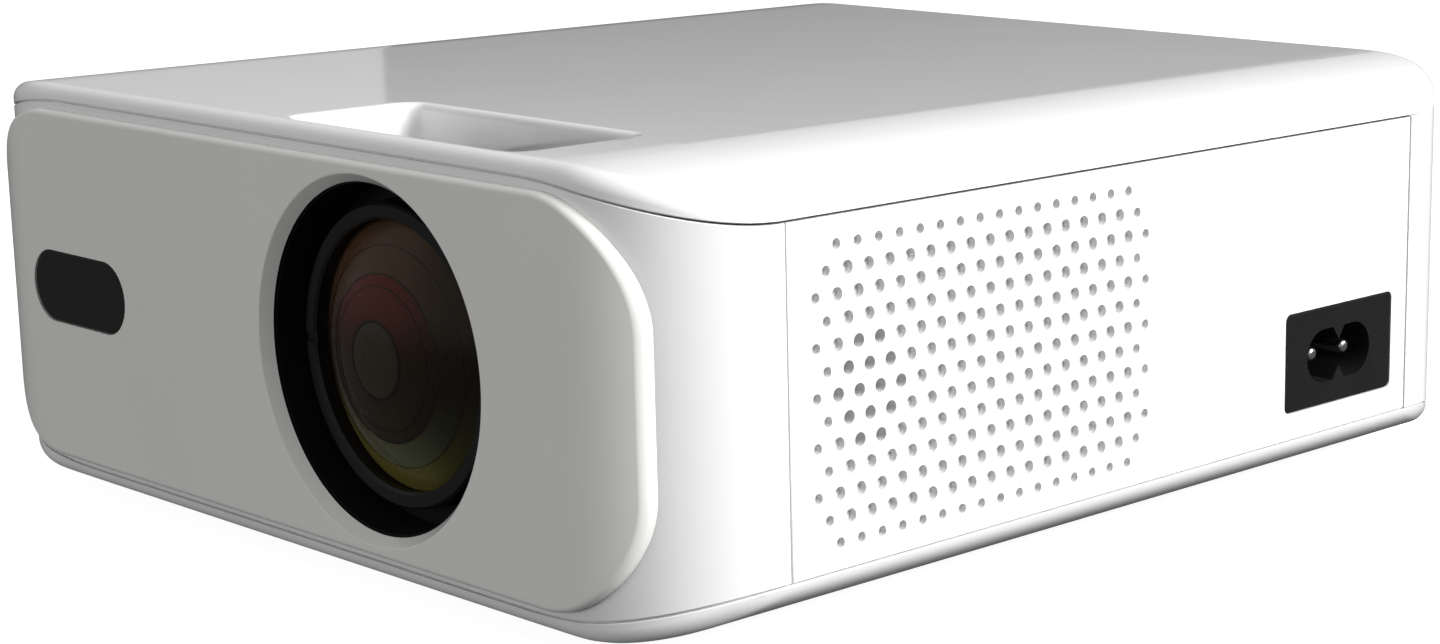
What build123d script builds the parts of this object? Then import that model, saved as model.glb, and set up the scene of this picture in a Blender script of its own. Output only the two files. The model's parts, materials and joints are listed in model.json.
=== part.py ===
"""Home projector: white shell, raised front plate, focusing lens, light engine, fan and boards.

Millimetres. +Z is up, the lens looks along -Y, and +X is the side with the mains inlet.
The origin is on the table, under the middle of the projector.
"""

import os
from math import cos, hypot, radians, sin, sqrt

from build123d import *

# ---------------------------------------------------------------- driving dimensions

body_width = 180.0
body_depth = 182.0
body_height = 65.4
corner_radius = 20.5
edge_radius = 2.4
wall = 2.2
foot_height = 2.5

# The top and bottom roll over to the sides along a quarter ellipse.
shoulder_run = 24.0
shoulder_rise = 8.0

# The parting lines are level across the middle and dip towards each side.
seam_height = 30.1
seam_drop = 5.4
seam_run = 32.0
groove_height = 0.3
groove_depth = 0.7

fascia_proud = 1.8
fascia_width = 164.0
fascia_height = 57.8
fascia_corner = 18.0
fascia_edge = 0.7

lens_x = 25.0
lens_opening = 25.6
lens_chamfer = 1.5
sleeve_wall = 1.8
collar_wall = 1.0
barrel_radius = 22.5
glass_radius = 20.5
barrel_setback = 5.0

ir_x = -54.5
ir_width = 28.2
ir_height = 11.8

recess_x = 27.5
recess_y = -75.2
recess_width = 54.5
recess_length = 22.4
recess_depth = 10.3
recess_wall = 1.3
recess_corner = 2.6

hole_pitch = 4.0
hole_rows = 13
hole_radius = 1.0
edge_hole_radius = 0.75
grille_y = -30.3
dimple_depth = 1.2
speaker_y = -54.3
speaker_rows = 2

inlet_y = 52.7
inlet_drop = 12.1
inlet_width = 28.6
inlet_height = 16.4

pin_spacing = 8.6
pin_radius = 1.18
pin_gap = 0.02
lobe_width = 16.8
lobe_height = 8.8
waist_depth = 2.2
waist_half = 1.5

fan_size = 50.0
fan_thickness = 15.0
fan_blades = 7
fan_hole_reach = 21.0

# The covers, lens mount and fan are held by M3 screws, the boards by smaller ones.
screw_radius = 1.5
screw_head = 2.7
screw_head_height = 1.8
screw_pilot = 1.55
screw_clearance = 1.6
board_screw_radius = 1.25
board_screw_head = 2.3
board_screw_head_height = 1.4
board_screw_pilot = 1.3
post_radius = 3.5
post_overlap = 0.4
well_radius = 3.0
well_clearance = 1.75

insert_radius = 5.0
insert_length = 8.5
insert_boss = 7.5
thread_radius = 3.175
foot_radius = 7.0

slot_pitch = 5.0
slot_row_gap = 26.0
slot_length = 20.0
slot_width = 2.0

board_thickness = 1.6
supply_top = 10.6

# ---------------------------------------------------------------- worked-out places

fascia_y = -(body_depth + fascia_proud) / 2
front_y = fascia_y + fascia_proud
rear_y = front_y + body_depth
body_y = (front_y + rear_y) / 2
mid_z = foot_height + body_height / 2
floor_z = foot_height + wall
ceiling_z = foot_height + body_height - wall
half_width = body_width / 2
front_seam_y = front_y + corner_radius
rear_seam_y = rear_y - corner_radius
seam_flat = half_width - seam_run
seam_radius = (seam_run**2 + seam_drop**2) / (2 * seam_drop)
reach = 2 * body_width
recess_floor = foot_height + body_height - recess_depth
# Share of an inset by which the rounded front and rear edges tighten.
edge_follow = 0.8

focus_grip = 27.2
focus_ridge = 0.5
focus_ridges = 48
glass_clear = 20.0
front_dome = 5.6
ring_front = -81.0
ring_back = -69.0
ring_gap = 0.5
shoulder_depth = 2.4
mount_radius = 24.4
engine_x = lens_x
engine_width = 66.0
engine_front = -44.0
engine_back = 36.0
engine_low = 7.0
engine_high = 63.4
board_top = 13.6
board_low = board_top - board_thickness
fan_front = 72.0
cover_posts = [(66, -59), (60, 78), (-76, 62), (-66, -59)]
post_split = 30.0

collar_back = front_y + wall
chamfer_depth = 2.2
sleeve_front = fascia_y + chamfer_depth
sleeve_radius = lens_opening + sleeve_wall
collar_radius = sleeve_radius + collar_wall
mount_bore = barrel_radius + 0.3
barrel_front = fascia_y + barrel_setback
glass_seat = barrel_front + 1.5
barrel_back = barrel_front + 37
bend_x = half_width - corner_radius

finished = {}


def keep(piece, name):
    """Labels one finished piece and keeps it for export."""
    piece.label = name
    finished[name] = piece


# ---------------------------------------------------------------- shared body shapes


def seam_point(sign, shift, x):
    """Point of one parting line at x, moved away from mid-height by shift."""
    past_flat = max(abs(x) - seam_flat, 0.0)
    dip = seam_radius - sqrt(seam_radius**2 - past_flat**2)
    return (x, mid_z + sign * (seam_height - dip + shift))


def seam_edge(sign, shift):
    """Draws one parting line across the body, moved away from mid-height by shift."""
    middle = seam_flat + seam_run / 2
    for side in (-1, 1):
        stops = (side * half_width, side * middle, side * seam_flat)
        ThreePointArc(*[seam_point(sign, shift, x) for x in stops])
    Line(seam_point(sign, shift, -seam_flat), seam_point(sign, shift, seam_flat))


def seam_band(sign, near, far):
    """Sketches the band between a parting line moved by near and the same line moved by far."""
    with BuildSketch() as band:
        with BuildLine():
            seam_edge(sign, near)
            seam_edge(sign, far)
            for x in (-half_width, half_width):
                Line(seam_point(sign, near, x), seam_point(sign, far, x))
        make_face()
    return band.sketch


def body_solid(inset):
    """Makes the solid inside the body's outer surface, moved inwards by inset."""
    width = half_width - inset
    rise = shoulder_rise - inset
    run = shoulder_run - inset
    straight = seam_height - seam_drop
    with BuildPart() as solid:
        with BuildSketch(Plane.XY.offset(foot_height + inset)):
            with Locations((0, body_y)):
                RectangleRounded(2 * width, body_depth - 2 * inset, corner_radius - inset)
        extrude(amount=body_height - 2 * inset)
        with BuildSketch(Plane.XZ):
            with Locations((0, mid_z)):
                Rectangle(2 * width, 2 * straight)
                Rectangle(2 * (width - run), body_height - 2 * inset)
                for x in (width - run, run - width):
                    for z in (straight, -straight):
                        with Locations((x, z)):
                            Ellipse(run, rise)
        extrude(amount=reach, both=True, mode=Mode.INTERSECT)
        with BuildSketch(Plane.YZ):
            with Locations((body_y, mid_z)):
                tighter = edge_radius - inset * edge_follow
                RectangleRounded(body_depth - 2 * inset, body_height - 2 * inset, tighter)
        extrude(amount=reach, both=True, mode=Mode.INTERSECT)
    return solid.part


body_outer = body_solid(0.0)
body_inner = body_solid(wall)
groove_core = body_solid(groove_depth)


def cover_shell(sign):
    """Makes the bare top (sign 1) or bottom (sign -1) cover, with its parting groove."""
    with BuildPart() as cover:
        add(body_outer)
        add(body_inner, mode=Mode.SUBTRACT)
        with BuildSketch(Plane.XZ):
            add(seam_band(sign, 0.0, body_height))
        extrude(amount=reach, both=True, mode=Mode.INTERSECT)
    with BuildPart() as groove:
        add(body_outer)
        add(groove_core, mode=Mode.SUBTRACT)
        with BuildSketch(Plane.XZ):
            add(seam_band(sign, 0.0, groove_height))
        extrude(amount=reach, both=True, mode=Mode.INTERSECT)
    with BuildPart() as grooved:
        add(cover)
        add(groove, mode=Mode.SUBTRACT)
    return grooved.part


def wall_piece(low_y, high_y):
    """Makes the body's upright wall between the two parting lines, from low_y to high_y."""
    with BuildPart() as piece:
        with BuildSketch():
            with Locations((0, body_y)):
                RectangleRounded(body_width, body_depth, corner_radius)
                RectangleRounded(
                    body_width - 2 * wall, body_depth - 2 * wall, corner_radius - wall, mode=Mode.SUBTRACT
                )
        extrude(amount=mid_z + body_height)
        with BuildSketch(Plane.XZ):
            add(seam_band(1, -seam_height / 2, 0.0))
            add(seam_band(-1, -seam_height / 2, 0.0))
            with Locations((0, mid_z)):
                Rectangle(body_width, seam_height)
        extrude(amount=reach, both=True, mode=Mode.INTERSECT)
        with Locations((0, (low_y + high_y) / 2, mid_z)):
            Box(reach, high_y - low_y, reach, mode=Mode.INTERSECT)
    return piece.part


def lens_tube(inner, outer, front, back):
    """Makes a tube, or a disc where inner is 0, about the lens's axis from front to back."""
    with BuildPart() as tube:
        with BuildSketch(Plane.XZ.offset(-front)):
            with Locations((lens_x, mid_z)):
                Circle(outer)
                if inner:
                    Circle(inner, mode=Mode.SUBTRACT)
        extrude(amount=front - back)
    return tube.part


def posts(places, radius, low, high, bore=0.0):
    """Adds round posts to the open part, from low to high, bored right through where a bore is given."""
    with BuildSketch(Plane.XY.offset(low)) as rings:
        with Locations(*places):
            Circle(radius)
            if bore:
                Circle(bore, mode=Mode.SUBTRACT)
    extrude(rings.sketch, amount=high - low)


# ---------------------------------------------------------------- covers

with BuildPart() as top_cover:
    add(cover_shell(1))
    with BuildSketch(Plane.XY.offset(recess_floor - recess_wall)):
        with Locations((recess_x, recess_y)):
            RectangleRounded(
                recess_width + 2 * recess_wall, recess_length + 2 * recess_wall, recess_corner + recess_wall
            )
    extrude(amount=ceiling_z - recess_floor + recess_wall)
    with BuildSketch(Plane.XY.offset(recess_floor)):
        with Locations((recess_x, recess_y)):
            RectangleRounded(recess_width, recess_length, recess_corner)
    extrude(amount=reach, mode=Mode.SUBTRACT)
    # The focus ring and the lens tube stand in the recess from below.
    with BuildSketch(Plane.XZ.offset(-ring_back - shoulder_depth - ring_gap)):
        with Locations((lens_x, mid_z)):
            Circle(focus_grip + focus_ridge + ring_gap)
    extrude(amount=-ring_front, mode=Mode.SUBTRACT)
    with BuildSketch(Plane.XZ.offset(-recess_y - recess_length)):
        with Locations((lens_x, mid_z)):
            Circle(mount_radius + 0.4)
    extrude(amount=recess_length, mode=Mode.SUBTRACT)
    posts(cover_posts, post_radius, post_split, ceiling_z + post_overlap, bore=screw_pilot)
keep(top_cover.part, "top_cover")

engine_feet = [(engine_x + x, y) for x in (-29, 29) for y in (engine_front + 6, engine_back - 6)]
board_feet = [(x, y) for x in (-66, -16) for y in (-26, 72)]
supply_feet = [(x, y) for x in (64, 78) for y in (-15, 31)]
tripod_place = (-18.0, 0.0)
post_low = floor_z - post_overlap

with BuildPart() as bottom_cover:
    add(cover_shell(-1))
    posts(cover_posts, post_radius, post_low, post_split)
    posts(engine_feet, 4.0, post_low, engine_low)
    posts(board_feet, 3.0, post_low, board_low, bore=board_screw_pilot)
    posts(supply_feet, 2.5, post_low, supply_top - board_thickness, bore=board_screw_pilot)
    posts([tripod_place], insert_boss, foot_height + 0.2, foot_height + insert_length)
    with BuildSketch(Plane.XY.offset(foot_height)):
        with Locations(tripod_place):
            Circle(insert_radius)
    extrude(amount=insert_length, mode=Mode.SUBTRACT)
    # Screw wells open downwards, and each screw head bears on the foot of its post.
    with BuildSketch(Plane.XY.offset(foot_height)):
        with Locations(*cover_posts):
            Circle(well_radius)
    extrude(amount=wall, mode=Mode.SUBTRACT)
    with BuildSketch(Plane.XY.offset(foot_height)):
        with Locations(*cover_posts):
            Circle(well_clearance)
    extrude(amount=post_split, mode=Mode.SUBTRACT)
    # Air slots under the light engine.
    with BuildSketch(Plane.XY.offset(foot_height)):
        with GridLocations(slot_pitch, slot_row_gap, 9, 2):
            with Locations((engine_x - 5, -4)):
                SlotOverall(slot_length, slot_width, rotation=90)
    extrude(amount=wall, mode=Mode.SUBTRACT)
keep(bottom_cover.part, "bottom_cover")

# ---------------------------------------------------------------- upright walls

with BuildPart() as front_shell:
    add(wall_piece(front_y - 1, front_seam_y))
    with BuildSketch(Plane.XZ.offset(-front_y - wall - 1)):
        with Locations((lens_x, mid_z)):
            Circle(collar_radius)
        with Locations((ir_x, mid_z)):
            SlotOverall(ir_width - 3, ir_height - 3)
    extrude(amount=wall + 2, mode=Mode.SUBTRACT)
keep(front_shell.part, "front_shell")


def side_panel(sign):
    """Makes the plain panel of one side, grooved at its two upright parting lines."""
    with BuildPart() as panel:
        add(wall_piece(front_seam_y, rear_seam_y))
        with Locations((sign * half_width, body_y, mid_z)):
            Box(4 * wall, reach, reach, mode=Mode.INTERSECT)
        for y in (front_seam_y, rear_seam_y):
            with Locations((sign * half_width, y, mid_z)):
                Box(2 * groove_depth, 2 * groove_height, reach, mode=Mode.SUBTRACT)
    return panel.part


def row_count(row):
    """Number of holes in a row of the grille, counted from the middle row."""
    if abs(row) == hole_rows // 2:
        return 16
    return 18 if row % 2 == 0 else 17


def grille_places(kind):
    """Lists the (y, z) places of the grille's holes of one kind: "open", "dimple" or "rim"."""
    last_row = hole_rows // 2
    row_pitch = hole_pitch * sqrt(3) / 2
    places = []
    for row in range(-last_row, last_row + 1):
        count = row_count(row)
        half_reach = hole_pitch * (speaker_rows + 2 - abs(row)) / 2
        for column in range(count):
            y = grille_y + (column - (count - 1) / 2) * hole_pitch
            if abs(row) == last_row or column in (0, count - 1):
                found = "rim"
            elif abs(row) <= speaker_rows and abs(y - speaker_y) < half_reach:
                found = "open"
            else:
                found = "dimple"
            if found == kind:
                places.append((y, mid_z + row * row_pitch))
    return places


def cut_grille(sign):
    """Cuts the staggered grille into the open side panel: dimples, and open holes over the speaker."""
    sizes = {
        "open": (hole_radius, 2 * wall),
        "dimple": (hole_radius, dimple_depth),
        "rim": (edge_hole_radius, dimple_depth),
    }
    for kind, (radius, depth) in sizes.items():
        with BuildSketch(Plane.YZ.offset(sign * half_width)) as holes:
            with Locations(*grille_places(kind)):
                Circle(radius)
        extrude(holes.sketch, amount=-sign * depth, mode=Mode.SUBTRACT)


with BuildPart() as right_side_panel:
    add(side_panel(1))
    cut_grille(1)
    with BuildSketch(Plane.YZ.offset(half_width - 2 * wall)):
        with Locations((inlet_y, mid_z - inlet_drop)):
            RectangleRounded(inlet_width, inlet_height, 1.2)
    extrude(amount=3 * wall, mode=Mode.SUBTRACT)
keep(right_side_panel.part, "right_side_panel")

with BuildPart() as left_side_panel:
    add(side_panel(-1))
    cut_grille(-1)
keep(left_side_panel.part, "left_side_panel")

hdmi_x = -60.0
usb_x = (-43.0, -28.0)
audio_x = -15.0
button_x = -52.0
button_z = 48.0
button_radius = 5.0
button_travel = 0.8
fan_corners = (-fan_hole_reach, fan_hole_reach)
fan_holes = [(lens_x + x, mid_z + z) for x in fan_corners for z in fan_corners]

with BuildPart() as rear_panel:
    add(wall_piece(rear_seam_y, rear_y + 1))
    with BuildSketch(Plane.XZ.offset(-rear_y - 1)):
        with Locations((lens_x, mid_z)):
            with GridLocations(4.0, 0.0, 11, 1):
                SlotOverall(42.0, 2.2, rotation=90)
        with Locations((hdmi_x, board_top + 2.8)):
            Rectangle(15.6, 6.2)
        with Locations(*[(x, board_top + 3.4) for x in usb_x]):
            Rectangle(13.6, 7.2)
        with Locations((audio_x, board_top + 3.5)):
            Circle(3.6)
        with Locations((button_x, button_z)):
            Circle(button_radius + 0.3)
    extrude(amount=wall + 2, mode=Mode.SUBTRACT)
    with BuildSketch(Plane.XZ.offset(-fan_front - fan_thickness)):
        with Locations(*fan_holes):
            Circle(post_radius - 0.1)
            Circle(screw_pilot, mode=Mode.SUBTRACT)
    extrude(amount=-(rear_y - wall - fan_front - fan_thickness + post_overlap))
    with BuildSketch(Plane.XZ.offset(-rear_y + wall - 0.2)):
        with Locations((button_x - 10.5, button_z), (button_x + 10.5, button_z)):
            Circle(2.0)
    extrude(amount=3.5 - wall + button_travel + 3.8 + 0.2)
keep(rear_panel.part, "rear_panel")

# ---------------------------------------------------------------- front plate and its inserts


def skin_distance(point):
    """Distance of a point outside the body's upright front wall."""
    past_corner = max(abs(point.X) - bend_x, 0.0)
    return hypot(past_corner, front_seam_y - point.Y) - corner_radius


with BuildPart() as front_fascia:
    with BuildSketch(Plane.XY.offset(mid_z - fascia_height / 2)):
        with Locations((0, body_y)):
            RectangleRounded(
                body_width + 2 * fascia_proud, body_depth + 2 * fascia_proud, corner_radius + fascia_proud
            )
            RectangleRounded(body_width, body_depth, corner_radius, mode=Mode.SUBTRACT)
    extrude(amount=fascia_height)
    with BuildSketch(Plane.XZ):
        with Locations((0, mid_z)):
            RectangleRounded(fascia_width, fascia_height, fascia_corner)
    extrude(amount=reach, mode=Mode.INTERSECT)
    # Round the front rim, but not the two upright lines where the plate starts to bend.
    rim = [
        edge
        for edge in front_fascia.edges()
        if skin_distance(edge @ 0.5) > fascia_proud - 0.01 and abs(abs((edge @ 0.5).X) - bend_x) > 0.1
    ]
    fillet(rim, fascia_edge)
    # A collar behind the plate carries the lens sleeve.
    add(lens_tube(lens_opening, collar_radius, front_y, collar_back))
    add(lens_tube(0.0, lens_opening, fascia_y, collar_back), mode=Mode.SUBTRACT)
    add(lens_tube(0.0, sleeve_radius, sleeve_front, collar_back), mode=Mode.SUBTRACT)
    with Locations(Location((lens_x, fascia_y + chamfer_depth / 2, mid_z), (90, 0, 0))):
        Cone(lens_opening, lens_opening + lens_chamfer, chamfer_depth, mode=Mode.SUBTRACT)
    with BuildSketch(Plane.XZ.offset(-front_y)):
        with Locations((ir_x, mid_z)):
            SlotOverall(ir_width, ir_height)
    extrude(amount=fascia_proud, mode=Mode.SUBTRACT)
keep(front_fascia.part, "front_fascia")

keep(lens_tube(lens_opening, sleeve_radius, sleeve_front, ring_front - 1.4), "lens_sleeve")

with BuildPart() as ir_window:
    with BuildSketch(Plane.XZ.offset(-front_y)):
        with Locations((ir_x, mid_z)):
            SlotOverall(ir_width - 0.1, ir_height - 0.1)
    extrude(amount=fascia_proud - 0.2)
    fillet(ir_window.faces().sort_by(Axis.Y)[0].edges(), 0.3)
keep(ir_window.part, "ir_window")

with BuildPart() as ir_receiver:
    with Locations((ir_x, front_y + wall + 4.6, mid_z)):
        Box(14, 1.2, 12)
    with Locations((ir_x, front_y + wall + 2.5, mid_z)):
        Box(6, 3.0, 7)
        Sphere(2.4)
keep(ir_receiver.part, "ir_receiver")

# ---------------------------------------------------------------- dust mesh behind each grille

for sign, name in ((1, "right_dust_mesh"), (-1, "left_dust_mesh")):
    with BuildPart() as dust_mesh:
        with Locations((sign * (half_width - wall - 0.25), speaker_y, mid_z)):
            Box(0.5, 24, 24)
    keep(dust_mesh.part, name)

# ---------------------------------------------------------------- lens

flange_thickness = 2.5
with BuildPart() as lens_mount:
    add(lens_tube(mount_bore, mount_radius, ring_front - 1.2, engine_front))
    add(lens_tube(mount_radius, 26.5, ring_back + 0.4, ring_back + shoulder_depth))
    with BuildSketch(Plane.XZ.offset(-engine_front)):
        with Locations((lens_x, mid_z)):
            RectangleRounded(60, 54, 4)
            Circle(mount_bore, mode=Mode.SUBTRACT)
            with GridLocations(50, 44, 2, 2):
                Circle(screw_clearance, mode=Mode.SUBTRACT)
    extrude(amount=flange_thickness)
keep(lens_mount.part, "lens_mount")

with BuildPart() as focus_ring:
    add(lens_tube(mount_radius + 0.05, focus_grip, ring_front, ring_back))
    with BuildSketch(Plane.XZ.offset(-ring_back)):
        with Locations((lens_x, mid_z)):
            with PolarLocations(focus_grip, focus_ridges):
                Rectangle(2 * focus_ridge, 1.8)
    extrude(amount=ring_back - ring_front)
keep(focus_ring.part, "focus_ring")

keep(lens_tube(mount_radius, 26.0, ring_front - 1.1, ring_front - 0.2), "focus_retaining_ring")

with BuildPart() as lens_barrel:
    add(lens_tube(glass_radius + 0.1, barrel_radius, glass_seat, barrel_back))
    add(lens_tube(18.0, glass_radius + 0.2, barrel_back - 10, barrel_back))
keep(lens_barrel.part, "lens_barrel")

with BuildPart() as lens_retaining_ring:
    add(lens_tube(glass_clear, barrel_radius, barrel_front, glass_seat))
    chamfer(lens_retaining_ring.faces().sort_by(Axis.Y)[0].edges(), 0.4)
    # Two spanner slots across the ring.
    with Locations((lens_x, barrel_front, mid_z)):
        Box(2 * barrel_radius + 2, 1.0, 1.4, mode=Mode.SUBTRACT)
keep(lens_retaining_ring.part, "lens_retaining_ring")


def lens_profile(front, back, clear, front_bulge, back_bulge):
    """Makes a round lens element; its curved faces stop at clear, and its rim runs front to back."""
    with BuildPart() as glass:
        with BuildSketch(Plane.XY.offset(mid_z)):
            with BuildLine():
                front_rim = (lens_x + clear, front)
                back_rim = (lens_x + clear, back)
                front_pole = (lens_x, front - front_bulge)
                back_pole = (lens_x, back + back_bulge)
                RadiusArc(front_pole, front_rim, -bulge_radius(clear, front_bulge))
                Line(front_rim, (lens_x + glass_radius, front))
                Line((lens_x + glass_radius, front), (lens_x + glass_radius, back))
                Line((lens_x + glass_radius, back), back_rim)
                RadiusArc(back_rim, back_pole, -bulge_radius(clear, back_bulge))
                Line(back_pole, front_pole)
            make_face()
        revolve(axis=Axis((lens_x, 0, mid_z), (0, 1, 0)))
    return glass.part


def bulge_radius(clear, bulge):
    """Radius of a spherical face that stands out by bulge within a round of radius clear."""
    return (clear**2 + bulge**2) / (2 * bulge)


keep(lens_profile(glass_seat, glass_seat + 3, glass_clear - 0.2, front_dome, 1.2), "front_lens_element")
keep(lens_tube(17.5, glass_radius, glass_seat + 4.5, barrel_back - 16), "lens_spacer")
keep(lens_profile(barrel_back - 15.8, barrel_back - 11, 17.0, 3.0, 1.0), "rear_lens_element")

# ---------------------------------------------------------------- light engine

engine_wall = 2.0
inner_width = engine_width - 2 * engine_wall
tray_height = engine_high - engine_low - engine_wall
plate_width = inner_width - 0.2
plate_height = tray_height - engine_wall - 0.2
plate_z = engine_low + engine_wall + plate_height / 2 + 0.1
engine_mid = (engine_front + engine_back) / 2
mount_screws = [(engine_x + x, mid_z + z) for x in (-25, 25) for z in (-22, 22)]

with BuildPart() as engine_housing:
    with BuildSketch(Plane.XY.offset(engine_low)):
        with Locations((engine_x, engine_mid)):
            Rectangle(engine_width, engine_back - engine_front)
    extrude(amount=tray_height)
    with BuildSketch(Plane.XY.offset(engine_low + engine_wall)):
        with Locations((engine_x, engine_mid)):
            Rectangle(inner_width, engine_back - engine_front - 2 * engine_wall)
    extrude(amount=reach, mode=Mode.SUBTRACT)
    with BuildSketch(Plane.XZ.offset(-engine_mid)):
        with Locations((engine_x, mid_z)):
            Circle(20.0)
        with Locations(*mount_screws):
            Circle(screw_pilot)
    extrude(amount=reach, mode=Mode.SUBTRACT)
    with BuildSketch(Plane.XZ.offset(-engine_mid)):
        with Locations((engine_x, mid_z)):
            Rectangle(30, 30)
    extrude(amount=-reach, mode=Mode.SUBTRACT)
keep(engine_housing.part, "engine_housing")

with BuildPart() as engine_lid:
    with Locations((engine_x, engine_mid, engine_high - engine_wall / 2)):
        Box(engine_width, engine_back - engine_front, engine_wall)
    fillet(engine_lid.edges().filter_by(Axis.Z), 2.0)
keep(engine_lid.part, "engine_lid")


def engine_plate(y, thickness, window=None):
    """Makes an upright plate that fills the light engine's section, with its front face at y."""
    with BuildPart() as plate:
        with Locations((engine_x, y + thickness / 2, plate_z)):
            Box(plate_width, thickness, plate_height)
        if window:
            with Locations((engine_x, y + thickness / 2, mid_z)):
                Box(window[0], thickness, window[1], mode=Mode.SUBTRACT)
    return plate.part


lcd_size = (57.0, 33.0)
keep(engine_plate(-33.0, 2.0), "front_fresnel_lens")
keep(engine_plate(-24.0, 3.0, window=lcd_size), "lcd_frame")
keep(engine_plate(-12.0, 1.5), "polariser_glass")
keep(engine_plate(-4.0, 2.0), "rear_fresnel_lens")

with BuildPart() as lcd_panel:
    with Locations((engine_x, -22.5, mid_z)):
        Box(lcd_size[0] - 0.1, 1.4, lcd_size[1] - 0.1)
keep(lcd_panel.part, "lcd_panel")

condenser_y = 12.0
condenser_radius = 20.0
with BuildPart() as condenser_holder:
    add(engine_plate(condenser_y, 3.0))
    add(lens_tube(0.0, condenser_radius + 0.1, condenser_y, condenser_y + 3), mode=Mode.SUBTRACT)
    add(lens_tube(condenser_radius + 0.1, condenser_radius + 2, condenser_y + 2, condenser_y + 5))
keep(condenser_holder.part, "condenser_holder")

with BuildPart() as condenser_lens:
    add(lens_tube(0.0, condenser_radius, condenser_y, condenser_y + 3))
    with BuildSketch(Plane.XY.offset(mid_z)):
        with BuildLine():
            rim = (lens_x + condenser_radius, condenser_y)
            pole = (lens_x, condenser_y - 8)
            RadiusArc(pole, rim, -bulge_radius(condenser_radius, 8))
            Line(rim, (lens_x, condenser_y))
            Line((lens_x, condenser_y), pole)
        make_face()
    revolve(axis=Axis((lens_x, 0, mid_z), (0, 1, 0)))
keep(condenser_lens.part, "condenser_lens")

led_board_thickness = 1.6
with BuildPart() as led_board:
    with Locations((engine_x, engine_back + led_board_thickness / 2, mid_z)):
        Box(44, led_board_thickness, 44)
keep(led_board.part, "led_board")

with BuildPart() as led_emitter:
    with Locations((engine_x, engine_back - 0.75, mid_z)):
        Box(16, 1.5, 16)
    fillet(led_emitter.edges().filter_by(Axis.Y), 1.5)
keep(led_emitter.part, "led_emitter")

sink_front = engine_back + led_board_thickness
with BuildPart() as led_heatsink:
    with Locations((engine_x, sink_front + 2, mid_z)):
        Box(50, 4, 50)
    with Locations((engine_x, sink_front + 14, mid_z)):
        with GridLocations(4.8, 0, 11, 1):
            Box(1.2, 20.2, 50)
keep(led_heatsink.part, "led_heatsink")

with BuildPart() as mount_screws_set:
    with BuildSketch(Plane.XZ.offset(-engine_front - engine_wall)):
        with Locations(*mount_screws):
            Circle(screw_radius)
    extrude(amount=engine_wall + flange_thickness)
    with BuildSketch(Plane.XZ.offset(-engine_front + flange_thickness)):
        with Locations(*mount_screws):
            Circle(screw_head)
    extrude(amount=screw_head_height)
keep(mount_screws_set.part, "lens_mount_screws")

# ---------------------------------------------------------------- fan

hub_radius = 10.0
blade_tip = 22.6
fan_back = fan_front + fan_thickness
shaft_radius = 1.5

with BuildPart() as fan_frame:
    with BuildSketch(Plane.XZ.offset(-fan_front)):
        with Locations((lens_x, mid_z)):
            RectangleRounded(fan_size, fan_size, 3.0)
            Circle(blade_tip + 0.8, mode=Mode.SUBTRACT)
        with Locations(*fan_holes):
            Circle(screw_clearance, mode=Mode.SUBTRACT)
    extrude(amount=-fan_thickness)
    # Motor carrier: a disc with a bearing hole, held by four struts at the back.
    with BuildSketch(Plane.XZ.offset(-fan_back + 2)):
        with Locations((lens_x, mid_z)):
            Circle(hub_radius)
            with PolarLocations(16.8, 4, start_angle=45):
                Rectangle(14.4, 3.0)
            Circle(shaft_radius + 0.05, mode=Mode.SUBTRACT)
    extrude(amount=-2)
keep(fan_frame.part, "fan_frame")

with BuildPart() as fan_rotor:
    with BuildSketch(Plane.XZ.offset(-fan_front - 1)):
        with Locations((lens_x, mid_z)):
            Circle(hub_radius)
    extrude(amount=-fan_thickness + 3.5)
    fillet(fan_rotor.faces().sort_by(Axis.Y)[0].edges(), 1.2)
    with BuildSketch(Plane.XZ.offset(-fan_front - 6)):
        with Locations((lens_x, mid_z)):
            Circle(shaft_radius)
    extrude(amount=-fan_thickness + 6.5)
    for blade in range(fan_blades):
        turn = radians(360 / fan_blades * blade)
        outward = Vector(cos(turn), 0, sin(turn))
        root = Vector(lens_x, fan_front + 7, mid_z) + outward * (hub_radius - 1)
        with BuildSketch(Plane(origin=root, x_dir=(0, 1, 0), z_dir=outward)):
            Rectangle(12.0, 1.0, rotation=38)
        extrude(amount=blade_tip - hub_radius + 0.7)
keep(fan_rotor.part, "fan_rotor")

with BuildPart() as fan_screws:
    with BuildSketch(Plane.XZ.offset(-fan_front)):
        with Locations(*fan_holes):
            Circle(screw_radius)
    extrude(amount=-fan_thickness - 2.4)
    with BuildSketch(Plane.XZ.offset(-fan_front)):
        with Locations(*fan_holes):
            Circle(screw_head)
    extrude(amount=screw_head_height)
keep(fan_screws.part, "fan_screws")

# ---------------------------------------------------------------- main board and rear sockets

with BuildPart() as main_board:
    with BuildSketch(Plane.XY.offset(board_low)):
        with Locations((-41, 27)):
            RectangleRounded(58, 114, 1.5)
        with Locations(*board_feet):
            Circle(screw_clearance, mode=Mode.SUBTRACT)
    extrude(amount=board_thickness)
keep(main_board.part, "main_board")


def boxes(places, base):
    """Adds box components, each (x, y, width, length, height), standing on the level base."""
    for x, y, width, length, height in places:
        with Locations((x, y, base + height / 2)):
            Box(width, length, height)


processor = (-42.0, 22.0)
with BuildPart() as board_chips:
    boxes(
        [
            (*processor, 20, 20, 1.4),
            (-22, 24, 9, 13, 1.2),
            (-22, 40, 9, 13, 1.2),
            (-60, 24, 10, 12, 1.4),
            (-58, -8, 15, 13, 2.4),
            (-24, 2, 8, 8, 4.0),
            (-24, -12, 8, 8, 4.0),
            (-40, -16, 12, 4, 5.0),
            (-44, 58, 7, 7, 1.2),
        ],
        board_top,
    )
keep(board_chips.part, "board_chips")

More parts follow.
